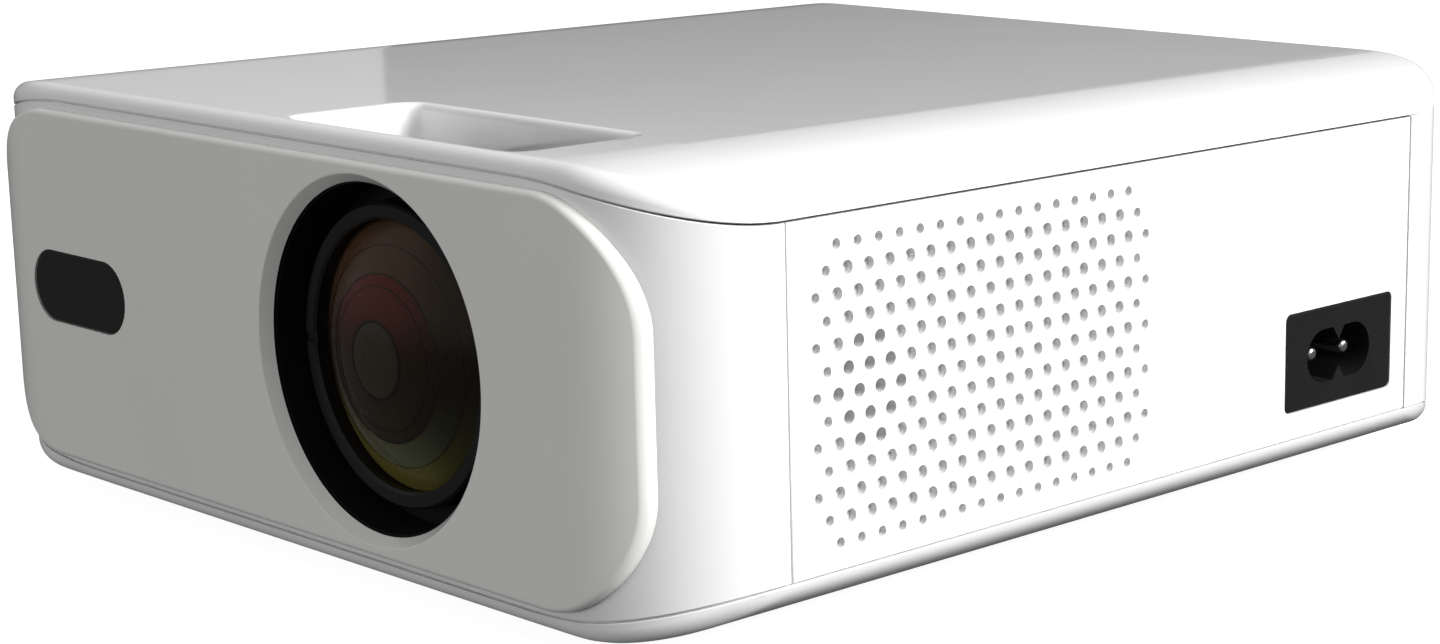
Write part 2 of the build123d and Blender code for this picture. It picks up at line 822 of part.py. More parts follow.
with BuildPart() as processor_heatsink:
    boxes([(*processor, 26, 26, 2.0)], board_top + 1.4)
    with Locations((*processor, board_top + 7.3)):
        with GridLocations(3.5, 0, 8, 1):
            Box(1.0, 26, 8.0)
keep(processor_heatsink.part, "processor_heatsink")

socket_back = rear_y - 0.5
with BuildPart() as hdmi_socket:
    boxes([(hdmi_x, socket_back - 5.7, 15.0, 11.4, 5.6)], board_top)
    with BuildSketch(Plane.XZ.offset(-socket_back)):
        with Locations((hdmi_x, board_top + 2.8)):
            Polygon((-7, 2.2), (7, 2.2), (7, -0.8), (5.4, -2.2), (-5.4, -2.2), (-7, -0.8), align=None)
    extrude(amount=10.0, mode=Mode.SUBTRACT)
    with Locations((hdmi_x, socket_back - 5.4, board_top + 3.4)):
        Box(11, 10.0, 1.2)
keep(hdmi_socket.part, "hdmi_socket")

with BuildPart() as usb_sockets:
    boxes([(x, socket_back - 6.8, 13.2, 13.6, 6.8) for x in usb_x], board_top)
    with Locations(*[(x, socket_back - 5.5, board_top + 3.4) for x in usb_x]):
        Box(12.2, 11.0, 5.2, mode=Mode.SUBTRACT)
    with Locations(*[(x, socket_back - 6.5, board_top + 4.4) for x in usb_x]):
        Box(11.0, 11.0, 1.8)
keep(usb_sockets.part, "usb_sockets")

jack_radius = 1.8
with BuildPart() as audio_jack:
    boxes([(audio_x, socket_back - 8.0, 6.8, 11.0, 6.9)], board_top)
    with BuildSketch(Plane.XZ.offset(-socket_back + 2.5)):
        with Locations((audio_x, board_top + 3.5)):
            Circle(3.3)
    extrude(amount=-2.5)
    with BuildSketch(Plane.XZ.offset(-socket_back)):
        with Locations((audio_x, board_top + 3.5)):
            Circle(jack_radius)
    extrude(amount=12.0, mode=Mode.SUBTRACT)
keep(audio_jack.part, "audio_jack")

# ---------------------------------------------------------------- power button

cap_back = rear_y - 3.5
with BuildPart() as power_button:
    with BuildSketch(Plane.XZ.offset(-cap_back)):
        with Locations((button_x, button_z)):
            Circle(button_radius)
    extrude(amount=cap_back - rear_y)
    chamfer(power_button.faces().sort_by(Axis.Y)[-1].edges(), 0.4)
    with BuildSketch(Plane.XZ.offset(-cap_back)):
        with Locations((button_x, button_z)):
            Circle(button_radius + 1.2)
    extrude(amount=-0.9)
keep(power_button.part, "power_button")

switch_front = cap_back - button_travel - 0.3
with BuildPart() as button_switch:
    with Locations((button_x, switch_front - 4.3, button_z)):
        Box(26, 1.6, 12)
    with Locations((button_x, switch_front - 2.0, button_z)):
        Box(6, 3.0, 6)
    with BuildSketch(Plane.XZ.offset(-switch_front + 0.5)):
        with Locations((button_x, button_z)):
            Circle(1.7)
    extrude(amount=-0.5)
keep(button_switch.part, "button_switch")

# ---------------------------------------------------------------- power supply and mains inlet

with BuildPart() as supply_board:
    with BuildSketch(Plane.XY.offset(supply_top - board_thickness)):
        with Locations((73.5, 8)):
            RectangleRounded(25, 52, 1.0)
        with Locations(*supply_feet):
            Circle(screw_clearance, mode=Mode.SUBTRACT)
    extrude(amount=board_thickness)
keep(supply_board.part, "supply_board")

transformer = (74.0, 12.0)
core_width = 17.0
core_length = 20.0
core_yoke = 5.0
with BuildPart() as supply_transformer:
    boxes([(*transformer, core_width, core_length, core_yoke)], supply_top)
    boxes([(*transformer, core_width, 9, core_width)], supply_top)
    boxes([(*transformer, core_width, core_length, core_yoke)], supply_top + core_width - core_yoke)
    with BuildSketch(Plane.XY.offset(supply_top + core_yoke - 1)):
        with Locations(transformer):
            Circle(8.2)
    extrude(amount=9)
keep(supply_transformer.part, "supply_transformer")

with BuildPart() as supply_capacitors:
    with BuildSketch(Plane.XY.offset(supply_top)):
        with Locations((68, -6), (79, -6)):
            Circle(5.0)
    extrude(amount=18)
    fillet(supply_capacitors.faces().sort_by(Axis.Z)[-2:].edges(), 0.8)
keep(supply_capacitors.part, "supply_capacitors")

inlet_z = mid_z - inlet_drop
inlet_face = half_width - 0.1
pin_places = [(inlet_y - pin_spacing / 2, inlet_z), (inlet_y + pin_spacing / 2, inlet_z)]
with BuildPart() as power_inlet:
    with BuildSketch(Plane.YZ.offset(inlet_face)):
        with Locations((inlet_y, inlet_z)):
            RectangleRounded(inlet_width - 0.2, inlet_height - 0.2, 1.1)
    extrude(amount=-wall + 0.1)
    fillet(power_inlet.faces().sort_by(Axis.X)[-1].edges(), 0.3)
    with BuildSketch(Plane.YZ.offset(half_width - wall)):
        with Locations((inlet_y, inlet_z)):
            Rectangle(22.0, 13.6)
    extrude(amount=-18.0)
    with BuildSketch(Plane.YZ.offset(inlet_face)):
        with Locations((inlet_y, inlet_z)):
            SlotOverall(lobe_width, lobe_height)
            # Wedges from above and below pinch the slot into a figure 8.
            for side in (1, -1):
                Polygon(
                    (-waist_half, side * lobe_height / 2),
                    (0.0, side * (lobe_height / 2 - waist_depth)),
                    (waist_half, side * lobe_height / 2),
                    align=None,
                    mode=Mode.SUBTRACT,
                )
    extrude(amount=-14.0, mode=Mode.SUBTRACT)
    with BuildSketch(Plane.YZ.offset(inlet_face)):
        with Locations(*pin_places):
            Circle(pin_radius + pin_gap)
    extrude(amount=-reach, mode=Mode.SUBTRACT)
keep(power_inlet.part, "power_inlet")

with BuildPart() as inlet_pins:
    with BuildSketch(Plane.YZ.offset(inlet_face - 1.8)):
        with Locations(*pin_places):
            Circle(pin_radius)
    extrude(amount=-21.0)
    fillet(inlet_pins.faces().sort_by(Axis.X)[-2:].edges(), 0.8)
keep(inlet_pins.part, "inlet_pins")

# ---------------------------------------------------------------- speakers


def speaker_round(sign, start, end, outer, inner=0.0):
    """Makes a round about a speaker's axis; start and end are depths behind its grille."""
    plane = Plane(origin=(sign * (speaker_face - start), speaker_y, mid_z), z_dir=(-sign, 0, 0))
    with BuildPart() as disc:
        with BuildSketch(plane):
            Circle(outer)
            if inner:
                Circle(inner, mode=Mode.SUBTRACT)
        extrude(amount=end - start)
    return disc.part


def speaker_cone(sign, start, end, wide, narrow):
    """Makes a truncated cone about a speaker's axis that narrows with depth."""
    middle = (sign * (speaker_face - (start + end) / 2), speaker_y, mid_z)
    with BuildPart() as cone:
        with Locations(Location(middle, (0, -90 * sign, 0))):
            Cone(wide, narrow, end - start)
    return cone.part


speaker_face = half_width - wall - 0.8
speaker_radius = 15.0
rim_depth = 1.5
basket_depth = 10.0
basket_wide = 13.5
basket_narrow = 9.5
basket_wall = 1.3
bore_wide = basket_wide - basket_wall
cone_front = 1.0
cone_back = 6.5
cone_wide = 11.9
cone_narrow = 5.5
paper = 0.5
coil_radius = 4.8
magnet_radius = 9.0
magnet_depth = 5.0
for sign, side in ((1, "right"), (-1, "left")):
    with BuildPart() as basket:
        add(speaker_cone(sign, rim_depth, basket_depth, basket_wide, basket_narrow))
        add(speaker_round(sign, 0.0, rim_depth, speaker_radius))
        bore_narrow = basket_narrow - basket_wall
        add(speaker_cone(sign, rim_depth, basket_depth, bore_wide, bore_narrow), mode=Mode.SUBTRACT)
        add(speaker_round(sign, 0.0, rim_depth, bore_wide), mode=Mode.SUBTRACT)
    keep(basket.part, f"{side}_speaker_basket")
    with BuildPart() as cone:
        add(speaker_cone(sign, cone_front, cone_back, cone_wide, cone_narrow))
        inside = speaker_cone(sign, cone_front, cone_back - paper, cone_wide - paper, cone_narrow - paper)
        add(inside, mode=Mode.SUBTRACT)
        add(speaker_round(sign, cone_back - 0.9, basket_depth - 1, coil_radius))
    keep(cone.part, f"{side}_speaker_cone")
    magnet = speaker_round(sign, basket_depth, basket_depth + magnet_depth, magnet_radius)
    keep(magnet, f"{side}_speaker_magnet")

# ---------------------------------------------------------------- fixings and feet

with BuildPart() as cover_screws:
    with BuildSketch(Plane.XY.offset(floor_z - screw_head_height)):
        with Locations(*cover_posts):
            Circle(screw_head)
    extrude(amount=screw_head_height)
    with BuildSketch(Plane.XY.offset(floor_z)):
        with Locations(*cover_posts):
            Circle(screw_radius)
    extrude(amount=post_split + 8 - floor_z)
keep(cover_screws.part, "cover_screws")


def board_fixings(places, top, length):
    """Adds a pan-head screw of the given shank length at each place, its head on the level top."""
    with BuildSketch(Plane.XY.offset(top)) as heads:
        with Locations(*places):
            Circle(board_screw_head)
    extrude(heads.sketch, amount=board_screw_head_height)
    with BuildSketch(Plane.XY.offset(top - length)) as shanks:
        with Locations(*places):
            Circle(board_screw_radius)
    extrude(shanks.sketch, amount=length)


with BuildPart() as board_screws:
    board_fixings(board_feet, board_top, 6.0)
    board_fixings(supply_feet, supply_top, 4.0)
keep(board_screws.part, "board_screws")

with BuildPart() as tripod_insert:
    with BuildSketch(Plane.XY.offset(foot_height)):
        with Locations(tripod_place):
            Circle(insert_radius)
            Circle(thread_radius, mode=Mode.SUBTRACT)
    extrude(amount=insert_length)
keep(tripod_insert.part, "tripod_insert")

with BuildPart() as rubber_feet:
    with BuildSketch():
        with Locations(*[(x, y) for x in (-55, 55) for y in (-58, 60)]):
            Circle(foot_radius)
    extrude(amount=foot_height)
    fillet(rubber_feet.faces().sort_by(Axis.Z)[:4].edges(), 0.6)
keep(rubber_feet.part, "rubber_feet")

# ---------------------------------------------------------------- export

os.makedirs("parts", exist_ok=True)
for name, part in finished.items():
    part.label = name
    export_step(part, f"parts/{name}.step")
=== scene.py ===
import json
import math

import bmesh
import bpy
from mathutils import Euler, Matrix, Vector


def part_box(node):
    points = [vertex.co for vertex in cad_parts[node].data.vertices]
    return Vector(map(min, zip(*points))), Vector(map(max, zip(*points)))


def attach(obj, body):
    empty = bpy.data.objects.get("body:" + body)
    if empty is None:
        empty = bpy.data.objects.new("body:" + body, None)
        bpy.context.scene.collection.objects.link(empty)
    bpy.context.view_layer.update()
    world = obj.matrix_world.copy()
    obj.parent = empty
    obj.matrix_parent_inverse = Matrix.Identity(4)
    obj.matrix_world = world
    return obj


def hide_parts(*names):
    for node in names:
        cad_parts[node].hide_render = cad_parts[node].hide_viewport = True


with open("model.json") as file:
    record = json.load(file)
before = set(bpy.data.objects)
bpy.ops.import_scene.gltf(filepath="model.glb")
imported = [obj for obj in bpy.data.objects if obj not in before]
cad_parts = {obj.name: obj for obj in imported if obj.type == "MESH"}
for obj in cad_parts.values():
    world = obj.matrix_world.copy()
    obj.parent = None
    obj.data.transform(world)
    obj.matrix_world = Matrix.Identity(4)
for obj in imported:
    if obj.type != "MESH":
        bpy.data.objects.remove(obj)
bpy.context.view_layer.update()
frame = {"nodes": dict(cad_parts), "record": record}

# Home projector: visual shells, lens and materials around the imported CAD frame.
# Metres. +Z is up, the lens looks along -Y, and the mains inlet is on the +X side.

scene = bpy.context.scene
nodes = frame["nodes"]
MM = 0.001

# ---------------------------------------------------------------- sizes and places

# The body's own curves, as the CAD model cuts them.
CORNER = 20.5 * MM
EDGE = 2.4 * MM
WALL = 2.2 * MM
SHOULDER_RUN = 24.0 * MM
SHOULDER_RISE = 8.0 * MM
SEAM_HEIGHT = 30.1 * MM
SEAM_DROP = 5.4 * MM
SEAM_RUN = 32.0 * MM
GROOVE = 0.3 * MM
GROOVE_DEPTH = 0.7 * MM
BREAK = 0.12 * MM

# The finger recess in the top, and the room beside it for the focus ring and the lens mount.
RECESS_WALL = 1.3 * MM
RECESS_CORNER = 2.6 * MM
RECESS_LIP = 1.2 * MM
RECESS_DEPTH = 10.3 * MM
RECESS_LEFT = 24.75 * MM
RECESS_FRONT = 3.7 * MM
RECESS_LENGTH = 54.5 * MM
RECESS_BREADTH = 22.4 * MM
RING_GAP = 0.5 * MM
RING_SHOULDER = 2.9 * MM
MOUNT_HOLE = 24.8 * MM
MOUNT_REACH = 12 * MM

# The front plate and the lens opening in it.
FASCIA_CORNER = 18.0 * MM
FASCIA_EDGE = 0.9 * MM
LENS_OPENING = 25.6 * MM
CHAMFER_RADIUS = 27.1 * MM
CHAMFER_DEPTH = 2.2 * MM
CHAMFER_LEAD = 0.3 * MM
CHAMFER_LEAD_DEPTH = 0.15 * MM
SLEEVE_GAP = 1.2 * MM
SLEEVE_CUT = 6 * MM
OPENING_CUT = 20 * MM
PART_GAP = 0.1 * MM

# The front glass, a shallow dome, and the bands a little behind it that carry the lens's painted
# reflections.
GLASS = 20.4 * MM
GLASS_THICKNESS = 1.0 * MM
DOME = 36.0 * MM
BAND_BEHIND = 1.3 * MM
BAND_DEPTH = 0.6 * MM
RING_PROUD = 0.1 * MM
RING_DEPTH = 0.5 * MM

# The underside's holes: screw wells, the tripod insert's and two rows of air slots.
SCREW_WELLS = [(x * MM, y * MM) for x, y in ((66, -59), (60, 78), (-76, 62), (-66, -59))]
WELL_RADIUS = 3.0 * MM
INSERT_RADIUS = 5.0 * MM
SLOTS_PER_SIDE = 4
SLOT_PITCH = 5 * MM
SLOT_ROW_Y = 13 * MM
SLOT_HALF_LENGTH = 10 * MM
SLOT_HALF_WIDTH = 1 * MM
SLOT_CORNER = 0.99 * MM

# The side grilles, and the inlet's opening in the right one.
GRILLE_Y = -30.3 * MM
HOLE_PITCH = 4.0 * MM
HOLE_RADIUS = 1.0 * MM
RIM_HOLE_RADIUS = 0.75 * MM
DIMPLE_DEPTH = 1.2 * MM
SPEAKER_Y = -54.3 * MM
OUTER_ROW = 6
HOLES_PER_ROW = 18
HOLES_PER_OUTER_ROW = 16
OPEN_ROWS = 2
INLET_PLATE_REACH = 8.2 * MM
INLET_CORNER = 1.2 * MM

# How far a cutting tool stands clear of what it cuts, at the front and top, and elsewhere.
FAR = 5 * MM
NEAR = 1 * MM

# The floor lies a little under the feet.
FLOOR_Z = -0.3 * MM
FLOOR_REACH = 6

base_low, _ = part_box("bottom_cover")
top_low, top_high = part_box("top_cover")
half_width = top_high.x
front_y = top_low.y
rear_y = top_high.y
half_depth = (rear_y - front_y) / 2
body_y = (rear_y + front_y) / 2
top_z = top_high.z
base_z = base_low.z
mid_z = (top_z + base_z) / 2
half_height = (top_z - base_z) / 2
front_seam_y = front_y + CORNER
rear_seam_y = rear_y - CORNER
straight = half_height - SHOULDER_RISE

fascia_low, fascia_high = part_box("front_fascia")
_, sleeve_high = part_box("lens_sleeve")
barrel_low, barrel_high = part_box("lens_barrel")
_, ring_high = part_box("lens_retaining_ring")
_, grip_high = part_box("focus_ring")
lens_x = (barrel_low.x + barrel_high.x) / 2
lens_centre = Vector((lens_x, 0.0, mid_z))
recess_low = Vector((lens_x - RECESS_LEFT, front_y + RECESS_FRONT, 0.0))
recess_high = recess_low + Vector((RECESS_LENGTH, RECESS_BREADTH, 0.0))
insert_low, insert_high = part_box("tripod_insert")
insert_x = (insert_low.x + insert_high.x) / 2
insert_y = (insert_low.y + insert_high.y) / 2


# ---------------------------------------------------------------- mesh helpers


SAME_POINT = 1e-7
ON_AXIS = 1e-9
SHARP_ANGLE = math.radians(32.0)


def new_object(name, bm):
    """Makes an object from a bmesh, with points that coincide merged, and frees the bmesh."""
    bmesh.ops.remove_doubles(bm, verts=bm.verts, dist=SAME_POINT)
    bmesh.ops.recalc_face_normals(bm, faces=bm.faces)
    mesh = bpy.data.meshes.new(name)
    bm.to_mesh(mesh)
    bm.free()
    thing = bpy.data.objects.new(name, mesh)
    scene.collection.objects.link(thing)
    return thing


def smooth(thing):
    """Shades an object smooth, with its sharp corners kept and its large flats left flat."""
    thing.data.shade_smooth()
    thing.data.set_sharp_from_angle(angle=SHARP_ANGLE)
    weighted = thing.modifiers.new("flats", "WEIGHTED_NORMAL")
    weighted.keep_sharp = True
    bake(thing)


def stack(name, rings, closed=True, caps=True, shaded_gap_after=()):
    """Joins rings of points in order, and closes the ends with caps.

    Faces that follow the listed rings get the piece's second material, which stands for a parting gap as
    painted shade.
    """
    bm = bmesh.new()
    made = [[bm.verts.new(point) for point in ring] for ring in rings]
    count = len(made[0])
    last = count if closed else count - 1
    for number, (low_ring, high_ring) in enumerate(zip(made, made[1:])):
        for i in range(last):
            j = (i + 1) % count
            face = bm.faces.new((low_ring[i], low_ring[j], high_ring[j], high_ring[i]))
            face.material_index = 1 if number in shaded_gap_after else 0
    if caps:
        bm.faces.new(list(reversed(made[0])))
        bm.faces.new(made[-1])
    return new_object(name, bm)


def lathe(name, profile, centre, steps=128):
    """Turns a closed profile of (radius, y) points about the line along Y through centre."""
    bm = bmesh.new()
    made = []
    for step in range(steps):
        turn = 2 * math.pi * step / steps
        across, up = math.cos(turn), math.sin(turn)
        made.append(
            [bm.verts.new((centre.x + r * across, y, centre.z + r * up)) for r, y in profile]
        )
    count = len(profile)
    for step in range(steps):
        here, there = made[step], made[(step + 1) % steps]
        for i in range(count):
            j = (i + 1) % count
            corners = [here[i], here[j], there[j], there[i]]
            if (corners[0].co - corners[3].co).length < ON_AXIS:
                corners = [here[i], here[j], there[j]]
            elif (corners[1].co - corners[2].co).length < ON_AXIS:
                corners = [here[i], here[j], there[i]]
            if profile[i][0] < ON_AXIS and profile[j][0] < ON_AXIS:
                continue
            bm.faces.new(corners)
    return new_object(name, bm)


def cut(thing, tool, operation="DIFFERENCE"):
    """Applies a boolean of another object to this one, and removes the other."""
    modifier = thing.modifiers.new("cut", "BOOLEAN")
    modifier.operation = operation
    modifier.solver = "EXACT"
    modifier.material_mode = "INDEX"
    modifier.object = tool
    bake(thing)
    bpy.data.objects.remove(tool)


def bake(thing):
    """Applies an object's modifiers to its mesh."""
    bpy.context.view_layer.update()
    graph = bpy.context.evaluated_depsgraph_get()
    mesh = bpy.data.meshes.new_from_object(thing.evaluated_get(graph))
    thing.modifiers.clear()
    thing.data = mesh


def place(thing, material, body, slot, *stands_for, second=None):
    """Gives a finished piece its looks and its body, and hides the nodes it stands for; its slot argument
    is not used.
    """
    thing.data.materials.clear()
    thing.data.materials.append(material)
    if second:
        thing.data.materials.append(second)
    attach(thing, body)
    if stands_for:
        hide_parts(*stands_for)


def rounded_outline(low, high, radius, steps=8):
    """Lists the points round a rounded rectangle in XY, anticlockwise."""
    points = []
    corners = ((high.x, high.y, 0), (low.x, high.y, 90), (low.x, low.y, 180), (high.x, low.y, 270))
    for x, y, start in corners:
        centre_x = x - math.copysign(radius, x - (low.x + high.x) / 2)
        centre_y = y - math.copysign(radius, y - (low.y + high.y) / 2)
        for step in range(steps + 1):
            turn = math.radians(start + 90 * step / steps)
            points.append((centre_x + radius * math.cos(turn), centre_y + radius * math.sin(turn)))
    return points


# ---------------------------------------------------------------- body surface

# The edge's radius is at most this share of the height between the shoulder and the seam.
EDGE_SHARE = 0.9

# How many pieces the outline's sides, ends and corners are drawn in.
SIDE_PIECES, END_PIECES, CORNER_PIECES = 24, 64, 32

# A cover's rings: steps across its inside, and turns along the shoulder's quarter ellipse.
INNER_INSETS = (SHOULDER_RUN, 12 * MM, 6 * MM, 3 * MM, 1 * MM)
INNER_RIM_DROP = 1 * MM
FINE_ANGLES = [2.5 * step for step in range(13)]
COARSE_ANGLES = [30 + 5 * step for step in range(1, 13)]


def seam(x):
    """Height of the parting line above mid-height at x."""
    radius = (SEAM_RUN**2 + SEAM_DROP**2) / (2 * SEAM_DROP)
    past = max(abs(x) - (half_width - SEAM_RUN), 0.0)
    return SEAM_HEIGHT - (radius - math.sqrt(radius**2 - past**2))


def shoulder(x):
    """Height of the cover above mid-height at x, before its front and rear edges are rounded."""
    past = min(max(abs(x) - (half_width - SHOULDER_RUN), 0.0) / SHOULDER_RUN, 1.0)
    return straight + SHOULDER_RISE * math.sqrt(1 - past**2)


def edge_radius(x):
    """Radius of the cover's edge where the outline passes x; it fades out at the sides."""
    return min(EDGE, EDGE_SHARE * (shoulder(x) - seam(x)))


def body_outline(inset):
    """Lists the body's outline in XY, moved inwards, with the same count of points each time."""
    radius = max(CORNER - inset, 0.0)
    across = half_width - inset - radius
    along = half_depth - inset - radius
    points = []
    sides = (
        ((across, -along), (across, along), 0, SIDE_PIECES),
        ((across, along), (-across, along), 90, END_PIECES),
        ((-across, along), (-across, -along), 180, SIDE_PIECES),
        ((-across, -along), (across, -along), 270, END_PIECES),
    )
    for (x0, y0), (x1, y1), start, pieces in sides:
        out_x, out_y = math.cos(math.radians(start)), math.sin(math.radians(start))
        for piece in range(pieces):
            share = piece / pieces
            x, y = x0 + (x1 - x0) * share, y0 + (y1 - y0) * share
            points.append((x + radius * out_x, body_y + y + radius * out_y))
        for step in range(CORNER_PIECES):
            turn = math.radians(start + 90 * step / CORNER_PIECES)
            points.append((x1 + radius * math.cos(turn), body_y + y1 + radius * math.sin(turn)))
    return points


def cover_rings(sign):
    """Lists a cover's rings, from the middle of its inside over its rim to its middle outside.

    A sign of 1 makes the top cover and -1 the bottom one.
    """
    edges = [edge_radius(x) for x, _ in body_outline(0.0)]

    def ring(inset, height):
        return [
            (x, y, mid_z + sign * height(i, x)) for i, (x, y) in enumerate(body_outline(inset))
        ]

    def outer_height(inset):
        def height(i, x):
            radius = edges[i]
            drop = 0.0
            if inset < radius:
                drop = radius - math.sqrt(max(radius**2 - (radius - inset) ** 2, 0.0))
            return max(shoulder(x) - drop, seam(x) + GROOVE + BREAK)

        return height

    def inner_height(i, x):
        return max(shoulder(x * half_width / (half_width - WALL)) - WALL, seam(x))

    angles = FINE_ANGLES + COARSE_ANGLES
    insets = [SHOULDER_RUN * (1 - math.cos(math.radians(angle))) for angle in angles]
    rings = [ring(inset + WALL, inner_height) for inset in INNER_INSETS]
    rings.append(ring(WALL, lambda i, x: max(inner_height(i, x) - INNER_RIM_DROP, seam(x))))
    rings.append(ring(WALL, lambda i, x: seam(x)))
    rings.append(ring(GROOVE_DEPTH, lambda i, x: seam(x)))
    rings.append(ring(GROOVE_DEPTH, lambda i, x: seam(x) + GROOVE))
    rings.append(ring(BREAK, lambda i, x: seam(x) + GROOVE))
    rings.append(ring(0.0, lambda i, x: seam(x) + GROOVE + BREAK))
    rings.extend(ring(inset, outer_height(inset)) for inset in insets)
    return rings


def recess_cutter():
    """Makes the finger recess's tool: a box with a rounded foot, which flares out at its lip."""
    foot_steps, lip_steps = 6, 8
    recess_floor = top_z - RECESS_DEPTH
    levels = []
    for step in range(foot_steps + 1):
        turn = math.radians(90 * step / foot_steps)
        shrink = RECESS_LIP * (1 - math.sin(turn))
        levels.append((shrink, recess_floor + RECESS_LIP * (1 - math.cos(turn))))
    for step in range(lip_steps + 1):
        turn = math.radians(90 * step / lip_steps)
        flare = RECESS_LIP * (1 - math.cos(turn))
        levels.append((-flare, top_z - RECESS_LIP * (1 - math.sin(turn))))
    levels.append((-RECESS_LIP, top_z + FAR))
    made = []
    for shrink, z in levels:
        low = recess_low + Vector((shrink, shrink, 0))
        high = recess_high - Vector((shrink, shrink, 0))
        made.append([(x, y, z) for x, y in rounded_outline(low, high, RECESS_CORNER - shrink)])
    return stack("recess_cutter", made)


def recess_tub():
    """Makes the solid round the finger recess, which the recess is then cut from."""
    grow = Vector((RECESS_WALL, RECESS_WALL, 0))
    outline = rounded_outline(recess_low - grow, recess_high + grow, RECESS_CORNER + RECESS_WALL)
    heights = (top_z - RECESS_DEPTH - RECESS_WALL, top_z - WALL / 2)
    return stack("recess_tub", [[(x, y, z) for x, y in outline] for z in heights])


def axis_cylinder(radius, front, back):
    """Makes a plain cylinder about the lens's axis, as a tool for cuts."""
    profile = [(0, front), (radius, front), (radius, back), (0, back)]
    return lathe("lens_cutter", profile, lens_centre, steps=96)


def floor_hole(radius, x, y):
    """Makes an upright cylinder that goes right through the bottom cover's floor, as a tool."""
    steps = 48
    turns = [2 * math.pi * step / steps for step in range(steps)]
    circle = [(x + radius * math.cos(turn), y + radius * math.sin(turn)) for turn in turns]
    heights = (base_z - NEAR, base_z + WALL + NEAR)
    return stack("upright_cutter", [[(px, py, z) for px, py in circle] for z in heights])


def air_slots():
    """Makes the tool for the two rows of air slots under the light engine."""
    middle_x, middle_y = lens_x - 5 * MM, -4 * MM
    bm = bmesh.new()
    for row in (-1, 1):
        for column in range(-SLOTS_PER_SIDE, SLOTS_PER_SIDE + 1):
            x = middle_x + column * SLOT_PITCH
            y = middle_y + row * SLOT_ROW_Y
            low = Vector((x - SLOT_HALF_WIDTH, y - SLOT_HALF_LENGTH, 0))
            high = Vector((x + SLOT_HALF_WIDTH, y + SLOT_HALF_LENGTH, 0))
            outline = rounded_outline(low, high, SLOT_CORNER)
            rings = [
                [bm.verts.new((px, py, z)) for px, py in outline]
                for z in (base_z - NEAR, base_z + WALL + NEAR)
            ]
            for i in range(len(outline)):
                j = (i + 1) % len(outline)
                bm.faces.new((rings[0][i], rings[0][j], rings[1][j], rings[1][i]))
            bm.faces.new(list(reversed(rings[0])))
            bm.faces.new(rings[1])
    return new_object("slot_cutters", bm)


# ---------------------------------------------------------------- materials


class Look:
    """Builds one material from nodes; uniform numbers go straight onto the shader's sockets."""

    def __init__(self, name, color, roughness, **sockets):
        self.material = bpy.data.materials.new(name)
        self.material.use_nodes = True
        self.tree = self.material.node_tree
        self.shader = self.tree.nodes["Principled BSDF"]
        self.shader.inputs["Base Color"].default_value = (*color, 1)
        self.shader.inputs["Roughness"].default_value = roughness
        for socket, value in sockets.items():
            self.shader.inputs[socket.replace("_", " ")].default_value = value
        self.coords = self.node("ShaderNodeTexCoord").outputs["Object"]

    def node(self, kind, **settings):
        made = self.tree.nodes.new(kind)
        for key, value in settings.items():
            setattr(made, key, value)
        return made

    def link(self, source, target):
        self.tree.links.new(source, target)

    def noise(self, scale, detail=3.0, stretch=(1, 1, 1)):
        """Output of a noise texture in metres, finer with a larger scale."""
        mapping = self.node("ShaderNodeMapping")
        mapping.inputs["Scale"].default_value = stretch
        texture = self.node("ShaderNodeTexNoise")
        texture.inputs["Scale"].default_value = scale
        texture.inputs["Detail"].default_value = detail
        self.link(self.coords, mapping.inputs["Vector"])
        self.link(mapping.outputs["Vector"], texture.inputs["Vector"])
        return texture.outputs[0]

    def spread(self, source, low, high):
        """Remaps the middle half of a 0 to 1 output to the range low to high."""
        remap = self.node("ShaderNodeMapRange")
        remap.inputs["From Min"].default_value = 0.25
        remap.inputs["From Max"].default_value = 0.75
        remap.inputs["To Min"].default_value = low
        remap.inputs["To Max"].default_value = high
        self.link(source, remap.inputs["Value"])
        return remap.outputs["Result"]

    def vary_color(self, source, one, other):
        """Lets the base colour run from one colour to another along a 0 to 1 output."""
        mix = self.node("ShaderNodeMix", data_type="RGBA")
        mix.inputs["A"].default_value = (*one, 1)
        mix.inputs["B"].default_value = (*other, 1)
        self.link(source, mix.inputs["Factor"])
        self.link(mix.outputs["Result"], self.shader.inputs["Base Color"])

    def vary_roughness(self, source, low, high):
        """Lets the roughness run from low to high along a noise output."""
        self.link(self.spread(source, low, high), self.shader.inputs["Roughness"])

    def bump(self, source, height):
        """Raises the surface by an output times height in metres."""
        bump = self.node("ShaderNodeBump")
        bump.inputs["Strength"].default_value = 1.0
        bump.inputs["Distance"].default_value = height
        self.link(source, bump.inputs["Height"])
        previous = self.shader.inputs["Normal"].links
        if previous:
            self.link(previous[0].from_socket, bump.inputs["Normal"])
        self.link(bump.outputs["Normal"], self.shader.inputs["Normal"])


def shade(color, factor):
    """Scales a colour, so that a material can vary about it."""
    return tuple(min(part * factor, 1.0) for part in color)


def gloss_plastic(name, color, roughness=0.06, level=0.5):
    """Polished moulding: faint mottling, fine dust-like roughness and a slight waviness."""
    look = Look(name, color, roughness, Specular_IOR_Level=level)
    look.vary_color(look.spread(look.noise(22), 0, 1), shade(color, 0.985), shade(color, 1.015))
    look.vary_roughness(look.noise(900), roughness * 0.8, roughness * 1.5)
    look.bump(look.noise(60, detail=1.0), 0.00001)
    return look.material


def grained_plastic(name, color, roughness=0.45, grain=2600, depth=0.00003, level=0.5):
    """Spark-eroded moulding: a fine even grain with slightly paler worn grain tips."""
    look = Look(name, color, roughness, Specular_IOR_Level=level)
    grain_noise = look.noise(grain, detail=4.0)
    look.vary_color(look.spread(grain_noise, 0, 1), shade(color, 0.8), shade(color, 1.3))
    look.vary_roughness(look.noise(120), roughness * 0.85, roughness * 1.15)
    look.bump(grain_noise, depth)
    return look.material


